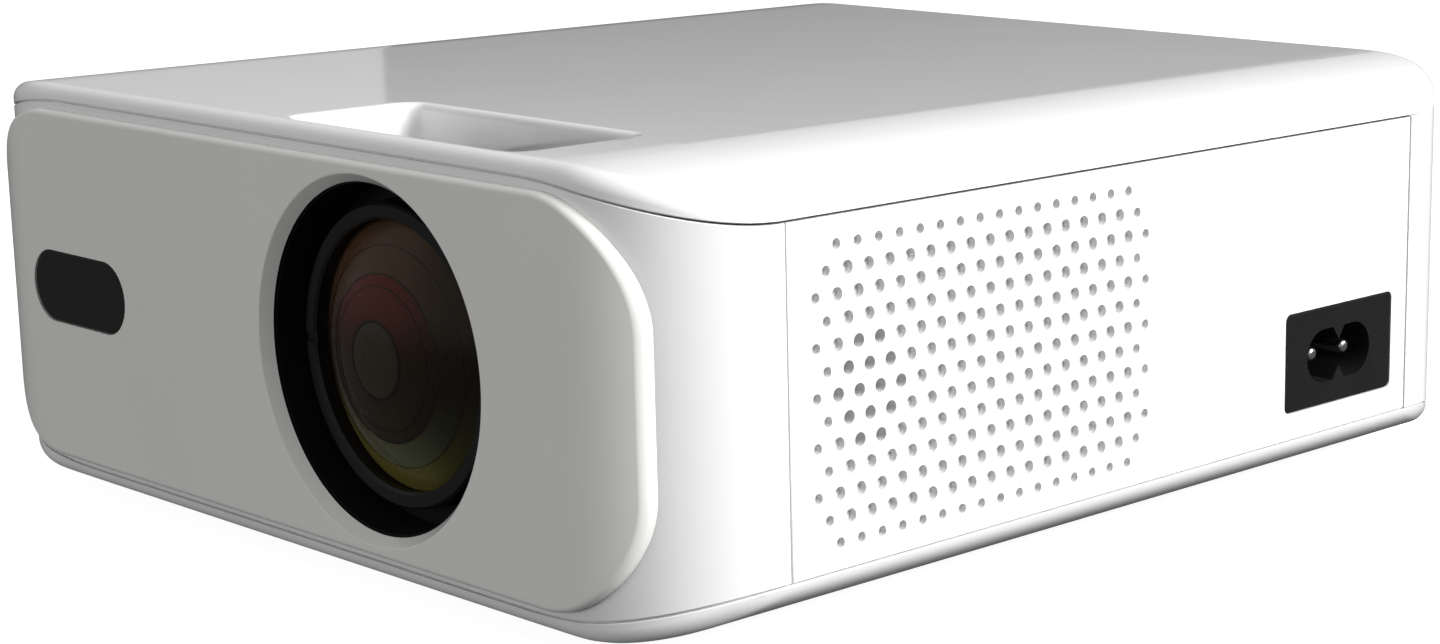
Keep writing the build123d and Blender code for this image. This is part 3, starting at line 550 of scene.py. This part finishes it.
def brushed_metal(name, color, roughness, stretch):
    """Drawn or turned metal: stretched scratches that vary its roughness and height."""
    look = Look(name, color, roughness, Metallic=1.0)
    lines = look.noise(300, detail=4.0, stretch=stretch)
    look.vary_color(look.spread(lines, 0, 1), shade(color, 0.85), shade(color, 1.05))
    look.vary_roughness(lines, roughness * 0.7, roughness * 1.4)
    look.bump(lines, 0.000008)
    return look.material


def woven_mesh(name, color):
    """Fine dust cloth: crossed threads as raised waves in two directions."""
    look = Look(name, color, 0.8, Sheen_Weight=0.3)
    for direction in ("Y", "Z"):
        wave = look.node("ShaderNodeTexWave", bands_direction=direction)
        wave.inputs["Scale"].default_value = 700
        look.link(look.coords, wave.inputs["Vector"])
        look.bump(wave.outputs["Fac"], 0.0001)
    look.vary_color(look.spread(look.noise(1500), 0, 1), shade(color, 0.6), shade(color, 1.6))
    return look.material


def circuit_board(name, color):
    """Solder mask over tracks: blocks of two greens with raised paler bands between them."""
    look = Look(name, color, 0.32, Coat_Weight=0.4)
    bricks = look.node("ShaderNodeTexBrick")
    bricks.inputs["Scale"].default_value = 260
    bricks.inputs["Mortar Size"].default_value = 0.03
    bricks.inputs["Color1"].default_value = (*shade(color, 0.9), 1)
    bricks.inputs["Color2"].default_value = (*shade(color, 1.1), 1)
    bricks.inputs["Mortar"].default_value = (*shade(color, 1.7), 1)
    look.link(look.coords, bricks.inputs["Vector"])
    look.link(bricks.outputs["Color"], look.shader.inputs["Base Color"])
    look.bump(bricks.outputs["Fac"], 0.00004)
    return look.material


def clear_glass(name, color):
    """Polished coated optic: a dim film of colour that the rings behind it show through."""
    look = Look(name, color, 0.05, Alpha=0.2)
    look.vary_color(look.spread(look.noise(90), 0, 1), shade(color, 0.85), shade(color, 1.15))
    look.vary_roughness(look.noise(400), 0.03, 0.08)
    return look.material


def painted_reflection_optics(name, above, middle, below):
    """Multicoated glass with painted reflection: the tints its coatings reflect are painted into the base
    colour, running from above to below, and painted shade darkens it towards the +X side.
    """
    look = Look(name, middle, 0.3, Specular_IOR_Level=0.1)
    mapping = look.node("ShaderNodeMapping")
    mapping.inputs["Location"].default_value = (-lens_x, 0, -mid_z)
    look.link(look.coords, mapping.inputs["Vector"])
    axes = look.node("ShaderNodeSeparateXYZ")
    look.link(mapping.outputs["Vector"], axes.inputs["Vector"])

    def ramp(source, stops):
        remap = look.node("ShaderNodeMapRange")
        remap.inputs["From Min"].default_value = -GLASS
        remap.inputs["From Max"].default_value = GLASS
        look.link(source, remap.inputs["Value"])
        ramp_node = look.node("ShaderNodeValToRGB")
        ramp_node.color_ramp.interpolation = "EASE"
        elements = ramp_node.color_ramp.elements
        while len(elements) < len(stops):
            elements.new(0.5)
        for element, (position, color) in zip(elements, stops):
            element.position = position
            element.color = (*color, 1)
        look.link(remap.outputs["Result"], ramp_node.inputs["Fac"])
        return ramp_node.outputs["Color"]

    # Painted reflection: the coatings' reflected tints, graded from below to above.
    upright = ramp(axes.outputs["Z"], [(0.05, below), (0.45, middle), (0.8, above)])
    # Painted shade: the base colour darkens towards the +X side.
    painted_shade_stops = [(0.2, (1, 1, 1)), (0.55, (0.8, 0.85, 0.8)), (0.85, (0.25, 0.32, 0.28))]
    across = ramp(axes.outputs["X"], painted_shade_stops)
    painted_reflection_tint = look.node("ShaderNodeMix", data_type="RGBA", blend_type="MULTIPLY")
    painted_reflection_tint.inputs["Factor"].default_value = 1.0
    look.link(upright, painted_reflection_tint.inputs["A"])
    look.link(across, painted_reflection_tint.inputs["B"])
    look.link(painted_reflection_tint.outputs["Result"], look.shader.inputs["Base Color"])
    look.vary_roughness(look.noise(500), 0.25, 0.35)
    return look.material


WHITE = (0.70, 0.70, 0.70)
looks = {
    "white_top": gloss_plastic("white_top", WHITE),
    "white_shell": gloss_plastic("white_shell", WHITE, 0.12),
    "white_fascia": gloss_plastic("white_fascia", (0.66, 0.66, 0.64), 0.12),
    "black_trim": grained_plastic("black_trim", (0.008, 0.008, 0.0083), 0.5, level=0.1),
    "smoked_window": gloss_plastic("smoked_window", (0.014, 0.0145, 0.013), 0.12, 0.16),
    "lens_glass": clear_glass("lens_glass", (0.02, 0.012, 0.008)),
    "optic_glass": clear_glass("optic_glass", (0.3, 0.36, 0.4)),
    "barrel_black": grained_plastic("barrel_black", (0.008, 0.008, 0.009), 0.3, depth=0.00001, level=0.25),
    "dark_mesh": woven_mesh("dark_mesh", (0.01, 0.01, 0.01)),
    "feet_rubber": grained_plastic("feet_rubber", (0.02, 0.02, 0.02), 0.75, grain=1200),
    "engine_plastic": grained_plastic("engine_plastic", (0.03, 0.03, 0.032), 0.55),
    "sink_aluminium": brushed_metal("sink_aluminium", (0.7, 0.71, 0.73), 0.35, (60, 1, 1)),
    "screw_steel": brushed_metal("screw_steel", (0.6, 0.6, 0.62), 0.28, (8, 8, 8)),
    "brass_insert": brushed_metal("brass_insert", (0.74, 0.55, 0.25), 0.25, (1, 1, 40)),
    "board_green": circuit_board("board_green", (0.012, 0.09, 0.04)),
    "chip_black": grained_plastic("chip_black", (0.02, 0.02, 0.022), 0.5),
    "socket_metal": brushed_metal("socket_metal", (0.75, 0.75, 0.76), 0.2, (20, 1, 20)),
    "fan_black": grained_plastic("fan_black", (0.02, 0.02, 0.022), 0.4),
    "speaker_paper": grained_plastic("speaker_paper", (0.03, 0.03, 0.033), 0.9, grain=900, depth=0.0001),
    "speaker_steel": grained_plastic("speaker_steel", (0.02, 0.02, 0.02), 0.3),
    "magnet_ferrite": grained_plastic("magnet_ferrite", (0.05, 0.05, 0.052), 0.7),
    "transformer_tape": grained_plastic("transformer_tape", (0.6, 0.45, 0.05), 0.4, grain=400),
    "capacitor_sleeve": grained_plastic("capacitor_sleeve", (0.015, 0.02, 0.06), 0.25, grain=500),
    "led_yellow": grained_plastic("led_yellow", (0.8, 0.65, 0.1), 0.5),
}

for entry in frame["record"]["subparts"]:
    mesh = nodes[entry["node"]].data
    mesh.materials.clear()
    mesh.materials.append(looks[entry["material_slot"]])

# ---------------------------------------------------------------- covers

# The rings of a cover after which its surface runs through the parting groove.
GROOVE_RINGS = (6, 7, 8)
# Painted shade: a dark material on the parting groove's faces stands for the dark gap between the
# mouldings.
gap_shade_look = grained_plastic("parting_gap_shade", (0.03, 0.03, 0.032), 0.8)

top_cover = stack("top_cover_shell", cover_rings(1), shaded_gap_after=GROOVE_RINGS)
cut(top_cover, recess_tub(), "UNION")
cut(top_cover, recess_cutter())
ring_room = grip_high.x - lens_x + RING_GAP
cut(top_cover, axis_cylinder(ring_room, front_y - FAR, grip_high.y + RING_SHOULDER))
recess_mid_y = (recess_low.y + recess_high.y) / 2
cut(top_cover, axis_cylinder(MOUNT_HOLE, recess_mid_y, recess_high.y + MOUNT_REACH))
smooth(top_cover)
place(top_cover, looks["white_top"], "root", "white_top", "top_cover", second=gap_shade_look)

bottom_cover = stack("bottom_cover_shell", cover_rings(-1), shaded_gap_after=GROOVE_RINGS)
for well_x, well_y in SCREW_WELLS:
    cut(bottom_cover, floor_hole(WELL_RADIUS, well_x, well_y))
cut(bottom_cover, floor_hole(INSERT_RADIUS, insert_x, insert_y))
cut(bottom_cover, air_slots())
smooth(bottom_cover)
place(bottom_cover, looks["white_shell"], "root", "white_shell", "bottom_cover", second=gap_shade_look)

# ---------------------------------------------------------------- upright walls


def corner_path(side):
    """Lists (x, y, out_x, out_y) round the front (side -1) or rear (side 1) of the body."""
    across = half_width - CORNER
    along = body_y + side * (half_depth - CORNER)
    path = []
    for step in range(CORNER_PIECES + 1):
        turn = math.radians(90 * step / CORNER_PIECES)
        path.append((-across - CORNER * math.cos(turn), along + side * CORNER * math.sin(turn)))
    corner = list(path)
    for piece in range(1, END_PIECES):
        path.append((-across + 2 * across * piece / END_PIECES, body_y + side * half_depth))
    path += [(-x, y) for x, y in reversed(corner)]
    stations = []
    for x, y in path:
        out = Vector((x - math.copysign(min(abs(x), across), x), y - along))
        stations.append((x, y, *(out.normalized())))
    return stations


def wall_ring(x, y, out_x, out_y, sunk=0.0):
    """Points round the upright wall's section at one station, with its outer face sunk inwards."""
    top, low = mid_z + seam(x), mid_z - seam(x)
    nudge = max(sunk, BREAK)
    section = (
        (sunk, low + BREAK),
        (sunk, top - BREAK),
        (nudge, top),
        (WALL, top),
        (WALL, low),
        (nudge, low),
    )
    return [(x - out_x * inset, y - out_y * inset, z) for inset, z in section]


front_wall = stack("front_wall", [wall_ring(*station) for station in corner_path(-1)])
cut(front_wall, axis_cylinder(sleeve_high.x - lens_x + SLEEVE_GAP, front_y - FAR, front_y + SLEEVE_CUT))
smooth(front_wall)
place(front_wall, looks["white_shell"], "root", "white_shell", "front_shell")


def grille_cutter(sign):
    """Makes the tool for one side's staggered grille: dimples, and open holes over the speaker."""
    bm = bmesh.new()
    for row in range(-OUTER_ROW, OUTER_ROW + 1):
        count = HOLES_PER_OUTER_ROW if abs(row) == OUTER_ROW else HOLES_PER_ROW - row % 2
        for column in range(count):
            y = GRILLE_Y + (column - (count - 1) / 2) * HOLE_PITCH
            z = mid_z + row * HOLE_PITCH * math.sqrt(3) / 2
            rim = abs(row) == OUTER_ROW or column in (0, count - 1)
            open_reach = HOLE_PITCH * (OPEN_ROWS + 2 - abs(row)) / 2
            opens = abs(row) <= OPEN_ROWS and abs(y - SPEAKER_Y) < open_reach
            radius = RIM_HOLE_RADIUS if rim else HOLE_RADIUS
            depth = 2 * WALL if opens else DIMPLE_DEPTH
            upright_to_x = Matrix.Rotation(math.pi / 2, 4, "Y")
            bmesh.ops.create_cone(
                bm,
                cap_ends=True,
                segments=32,
                radius1=radius,
                radius2=radius,
                depth=2 * depth,
                matrix=Matrix.Translation((sign * half_width, y, z)) @ upright_to_x,
            )
    return new_object("grille_cutter", bm)


def side_wall(sign, name):
    """Makes one side's panel, grooved where it meets the front and rear walls."""
    steps = (
        (front_seam_y, GROOVE_DEPTH),
        (front_seam_y + GROOVE, GROOVE_DEPTH),
        (front_seam_y + GROOVE, BREAK),
        (front_seam_y + GROOVE + BREAK, 0.0),
        (rear_seam_y - GROOVE - BREAK, 0.0),
        (rear_seam_y - GROOVE, BREAK),
        (rear_seam_y - GROOVE, GROOVE_DEPTH),
        (rear_seam_y, GROOVE_DEPTH),
    )
    rings = [wall_ring(sign * half_width, y, sign, 0.0, sunk) for y, sunk in steps]
    # The groove's faces take the painted gap shade.
    panel = stack(name, rings, shaded_gap_after=(0, 1, 5, 6))
    cut(panel, grille_cutter(sign))
    return panel


right_wall = side_wall(1, "right_wall")
inlet_low, inlet_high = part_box("power_inlet")
inlet_z = (inlet_low.z + inlet_high.z) / 2
inlet_outline = rounded_outline(
    Vector((inlet_low.y - PART_GAP, inlet_z - INLET_PLATE_REACH)),
    Vector((inlet_high.y + PART_GAP, inlet_z + INLET_PLATE_REACH)),
    INLET_CORNER,
)
inlet_depths = (half_width - FAR, half_width + NEAR)
inlet_rings = [[(x, y, z) for y, z in inlet_outline] for x in inlet_depths]
cut(right_wall, stack("inlet_cutter", inlet_rings))
smooth(right_wall)
place(right_wall, looks["white_shell"], "root", "white_shell", "right_side_panel", second=gap_shade_look)
left_wall = side_wall(-1, "left_wall")
smooth(left_wall)
place(left_wall, looks["white_shell"], "root", "white_shell", "left_side_panel", second=gap_shade_look)

# ---------------------------------------------------------------- front plate


def plate_y(x, proud):
    """Y of a skin that stands proud of the upright front wall, at x."""
    past = max(abs(x) - (half_width - CORNER), 0.0)
    return front_seam_y - math.sqrt((CORNER + proud) ** 2 - past**2)


def plate_outline(inset):
    """Lists the front plate's outline in XZ, moved inwards."""
    low = Vector((fascia_low.x + inset, fascia_low.z + inset))
    high = Vector((fascia_high.x - inset, fascia_high.z - inset))
    return rounded_outline(low, high, FASCIA_CORNER - inset, steps=24)


def plate_ring(inset, proud):
    """Lists one ring of the front plate: its outline moved inwards, lying proud of the wall."""
    return [(x, plate_y(x, proud), z) for x, z in plate_outline(inset)]


BACK_INSETS = (15, 12, 8, 4, 1, 0)
FACE_INSETS = (*range(2, 14), 15)
EDGE_STEPS = 8
fascia_face = fascia_low.y
fascia_proud = front_y - fascia_face
rings = [plate_ring(inset * MM, 0) for inset in BACK_INSETS]
for step in range(EDGE_STEPS + 1):
    turn = math.radians(90 * step / EDGE_STEPS)
    proud = fascia_proud - FASCIA_EDGE * (1 - math.sin(turn))
    rings.append(plate_ring(FASCIA_EDGE * (1 - math.cos(turn)), proud))
rings += [plate_ring(inset * MM, fascia_proud) for inset in FACE_INSETS]
front_plate = stack("front_plate", rings)

opening_end = fascia_face + OPENING_CUT
opening_profile = [
    (0, fascia_face - FAR),
    (CHAMFER_RADIUS + CHAMFER_LEAD, fascia_face - FAR),
    (CHAMFER_RADIUS + CHAMFER_LEAD, fascia_face),
    (CHAMFER_RADIUS, fascia_face + CHAMFER_LEAD_DEPTH),
    (LENS_OPENING, fascia_face + CHAMFER_DEPTH),
    (LENS_OPENING, opening_end),
    (0, opening_end),
]
cut(front_plate, lathe("opening_cutter", opening_profile, lens_centre, steps=160))

window_low, window_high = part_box("ir_window")
slot_outline = rounded_outline(
    Vector((window_low.x - PART_GAP, window_low.z - PART_GAP)),
    Vector((window_high.x + PART_GAP, window_high.z + PART_GAP)),
    (window_high.z - window_low.z) / 2 + PART_GAP * 0.99,
    steps=24,
)
slot_depths = (fascia_face - FAR, front_y + FAR)
slot_rings = [[(x, y, z) for x, z in slot_outline] for y in slot_depths]
cut(front_plate, stack("slot_cutter", slot_rings))
smooth(front_plate)
place(front_plate, looks["white_fascia"], "root", "white_fascia", "front_fascia")

# ---------------------------------------------------------------- lens

glass_seat = ring_high.y


def dome_y(radius, behind=0.0):
    """Y of the front glass's outer surface at a radius, or of a surface a little behind it."""
    rim = math.sqrt(DOME**2 - GLASS**2)
    return glass_seat + rim - math.sqrt(DOME**2 - radius**2) + behind


def dome_profile(outer, inner, behind, steps=12):
    """Lists the points of a strip of the dome, from its outer to its inner radius."""
    radii = [outer + (inner - outer) * step / steps for step in range(steps + 1)]
    return [(radius, dome_y(radius, behind)) for radius in radii]


front_glass = lathe(
    "front_glass",
    dome_profile(GLASS, 0.0, 0.0, 20) + dome_profile(GLASS, 0.0, GLASS_THICKNESS, 20)[::-1],
    lens_centre,
)
smooth(front_glass)
place(front_glass, looks["lens_glass"], "lens_barrel", "lens_glass", "front_lens_element")

# Colours of painted reflection: the tints that the lens coatings reflect, with a painted grey highlight on
# the small middle lens.
BROWN, RED, DARK = (0.115, 0.06, 0.033), (0.15, 0.018, 0.008), (0.03, 0.027, 0.018)
YELLOW, OLIVE, MOSS = (0.24, 0.21, 0.045), (0.2, 0.2, 0.11), (0.03, 0.03, 0.008)
AMBER, GREY = (0.06, 0.045, 0.033), (0.09, 0.088, 0.08)
bands = (
    (20.2, 16.4, BROWN, DARK, YELLOW),
    (16.3, 12.5, BROWN, DARK, OLIVE),
    (12.3, 10.75, RED, DARK, MOSS),
    (10.6, 5.95, RED, DARK, MOSS),
    (5.5, 0.0, GREY, AMBER, GREY),
)
# The outermost band also takes the place of the CAD model's spacer tube, which it would hide.
for number, (outer, inner, above, middle, below) in enumerate(bands):
    outer, inner = outer * MM, inner * MM
    profile = dome_profile(outer, inner, BAND_BEHIND)
    profile += [(radius, dome_y(radius, BAND_BEHIND + BAND_DEPTH)) for radius in (inner, outer)]
    band = lathe(f"painted_reflection_band_{number}", profile, lens_centre)
    smooth(band)
    band_look = painted_reflection_optics(f"painted_reflection_band_{number}", above, middle, below)
    stands_for = ("lens_spacer",) if number == 0 else ()
    place(band, band_look, "lens_barrel", "lens_glass", *stands_for)

# Thin metal edges fill the gaps between the bands.
ring_look = brushed_metal("ring_edge", (0.05, 0.047, 0.04), 0.4, (1, 1, 1))
for number, (wider, narrower) in enumerate(zip(bands, bands[1:])):
    outer, inner = wider[1] * MM, narrower[0] * MM
    profile = [(radius, dome_y(radius, BAND_BEHIND - RING_PROUD)) for radius in (outer, inner)]
    profile += [(radius, dome_y(radius, BAND_BEHIND + RING_DEPTH)) for radius in (inner, outer)]
    edge = lathe(f"cell_edge_{number}", profile, lens_centre)
    smooth(edge)
    place(edge, ring_look, "lens_barrel", "barrel_black")

# ---------------------------------------------------------------- stage, lights and camera

floor_look = Look("floor", (0.3, 0.3, 0.3), 0.6)
floor_look.shader.inputs["Emission Color"].default_value = (1, 1, 1, 1)
floor_look.shader.inputs["Emission Strength"].default_value = 0.93
floor_look.vary_roughness(floor_look.noise(3), 0.58, 0.62)
floor_edges = [[(x, y, FLOOR_Z) for x in (-FLOOR_REACH, FLOOR_REACH)] for y in (-FLOOR_REACH, FLOOR_REACH)]
floor = stack("floor", floor_edges, closed=False, caps=False)
floor.data.materials.append(floor_look.material)
floor.visible_diffuse = False
floor.visible_glossy = False

world = bpy.data.worlds.new("studio")
scene.world = world
world.use_nodes = True
sky = world.node_tree
direction = sky.nodes.new("ShaderNodeTexCoord")
height = sky.nodes.new("ShaderNodeSeparateXYZ")
sky_light = sky.nodes.new("ShaderNodeMapRange")
sky_light.inputs["From Min"].default_value = -0.1
sky_light.inputs["From Max"].default_value = 0.1
sky_light.inputs["To Min"].default_value = 0.1
sky_light.inputs["To Max"].default_value = 0.34
sky.links.new(direction.outputs["Generated"], height.inputs["Vector"])
sky.links.new(height.outputs["Z"], sky_light.inputs["Value"])
sky.links.new(sky_light.outputs["Result"], sky.nodes["Background"].inputs["Strength"])
sky.nodes["Background"].inputs["Color"].default_value = (1, 1, 1, 1)


def soft_light(name, place_at, aim, size, power, glossy=True):
    """Adds a rectangular area light that faces a point."""
    data = bpy.data.lights.new(name, "AREA")
    data.shape = "RECTANGLE"
    data.size, data.size_y = size
    data.energy = power
    light = bpy.data.objects.new(name, data)
    light.location = place_at
    light.rotation_euler = (Vector(aim) - Vector(place_at)).to_track_quat("-Z", "Y").to_euler()
    light.visible_glossy = glossy
    scene.collection.objects.link(light)


BODY_MIDDLE = (0.0, 0.0, 0.03)
soft_light("key", (1.45, 0.45, 0.9), BODY_MIDDLE, (1.0, 0.6), 60)
soft_light("front_fill", (-0.4, -2.4, 0.35), BODY_MIDDLE, (1.6, 0.8), 19, glossy=False)

# A dark card behind the projector, seen only as a reflection in the glossy top.
CARD_AWAY = 4.0
CARD_LEFT, CARD_RIGHT, CARD_HEIGHT = (math.radians(angle) for angle in (56, -15, 9.0))
card_top = CARD_AWAY * math.tan(CARD_HEIGHT)
card_ends = [(-CARD_AWAY * math.sin(turn), CARD_AWAY * math.cos(turn)) for turn in (CARD_LEFT, CARD_RIGHT)]
card_look = Look("card", (0.01, 0.01, 0.01), 0.9)
card_look.vary_roughness(card_look.noise(8), 0.85, 0.95)
card = stack("card", [[(x, y, z) for x, y in card_ends] for z in (0.0, card_top)], closed=False, caps=False)
card.data.materials.append(card_look.material)
card.visible_camera = False
card.visible_diffuse = False
card.visible_shadow = False

camera_data = bpy.data.cameras.new("camera")
camera = bpy.data.objects.new("camera", camera_data)
scene.collection.objects.link(camera)
scene.camera = camera
camera_data.sensor_width = 36.0
camera_data.lens = 72.7
camera_data.shift_x = -0.1625
camera_data.shift_y = 0.0202
camera_data.clip_start = 0.01
azimuth, elevation, roll = math.radians(44.118), math.radians(12.150), math.radians(0.399)
camera.location = (0.3685, -0.3250, 0.1238)
look_along = Euler((math.pi / 2 - elevation, 0, azimuth)).to_matrix()
camera.rotation_euler = (look_along @ Matrix.Rotation(-roll, 3, "Z")).to_euler()
scene.view_settings.view_transform = "Standard"
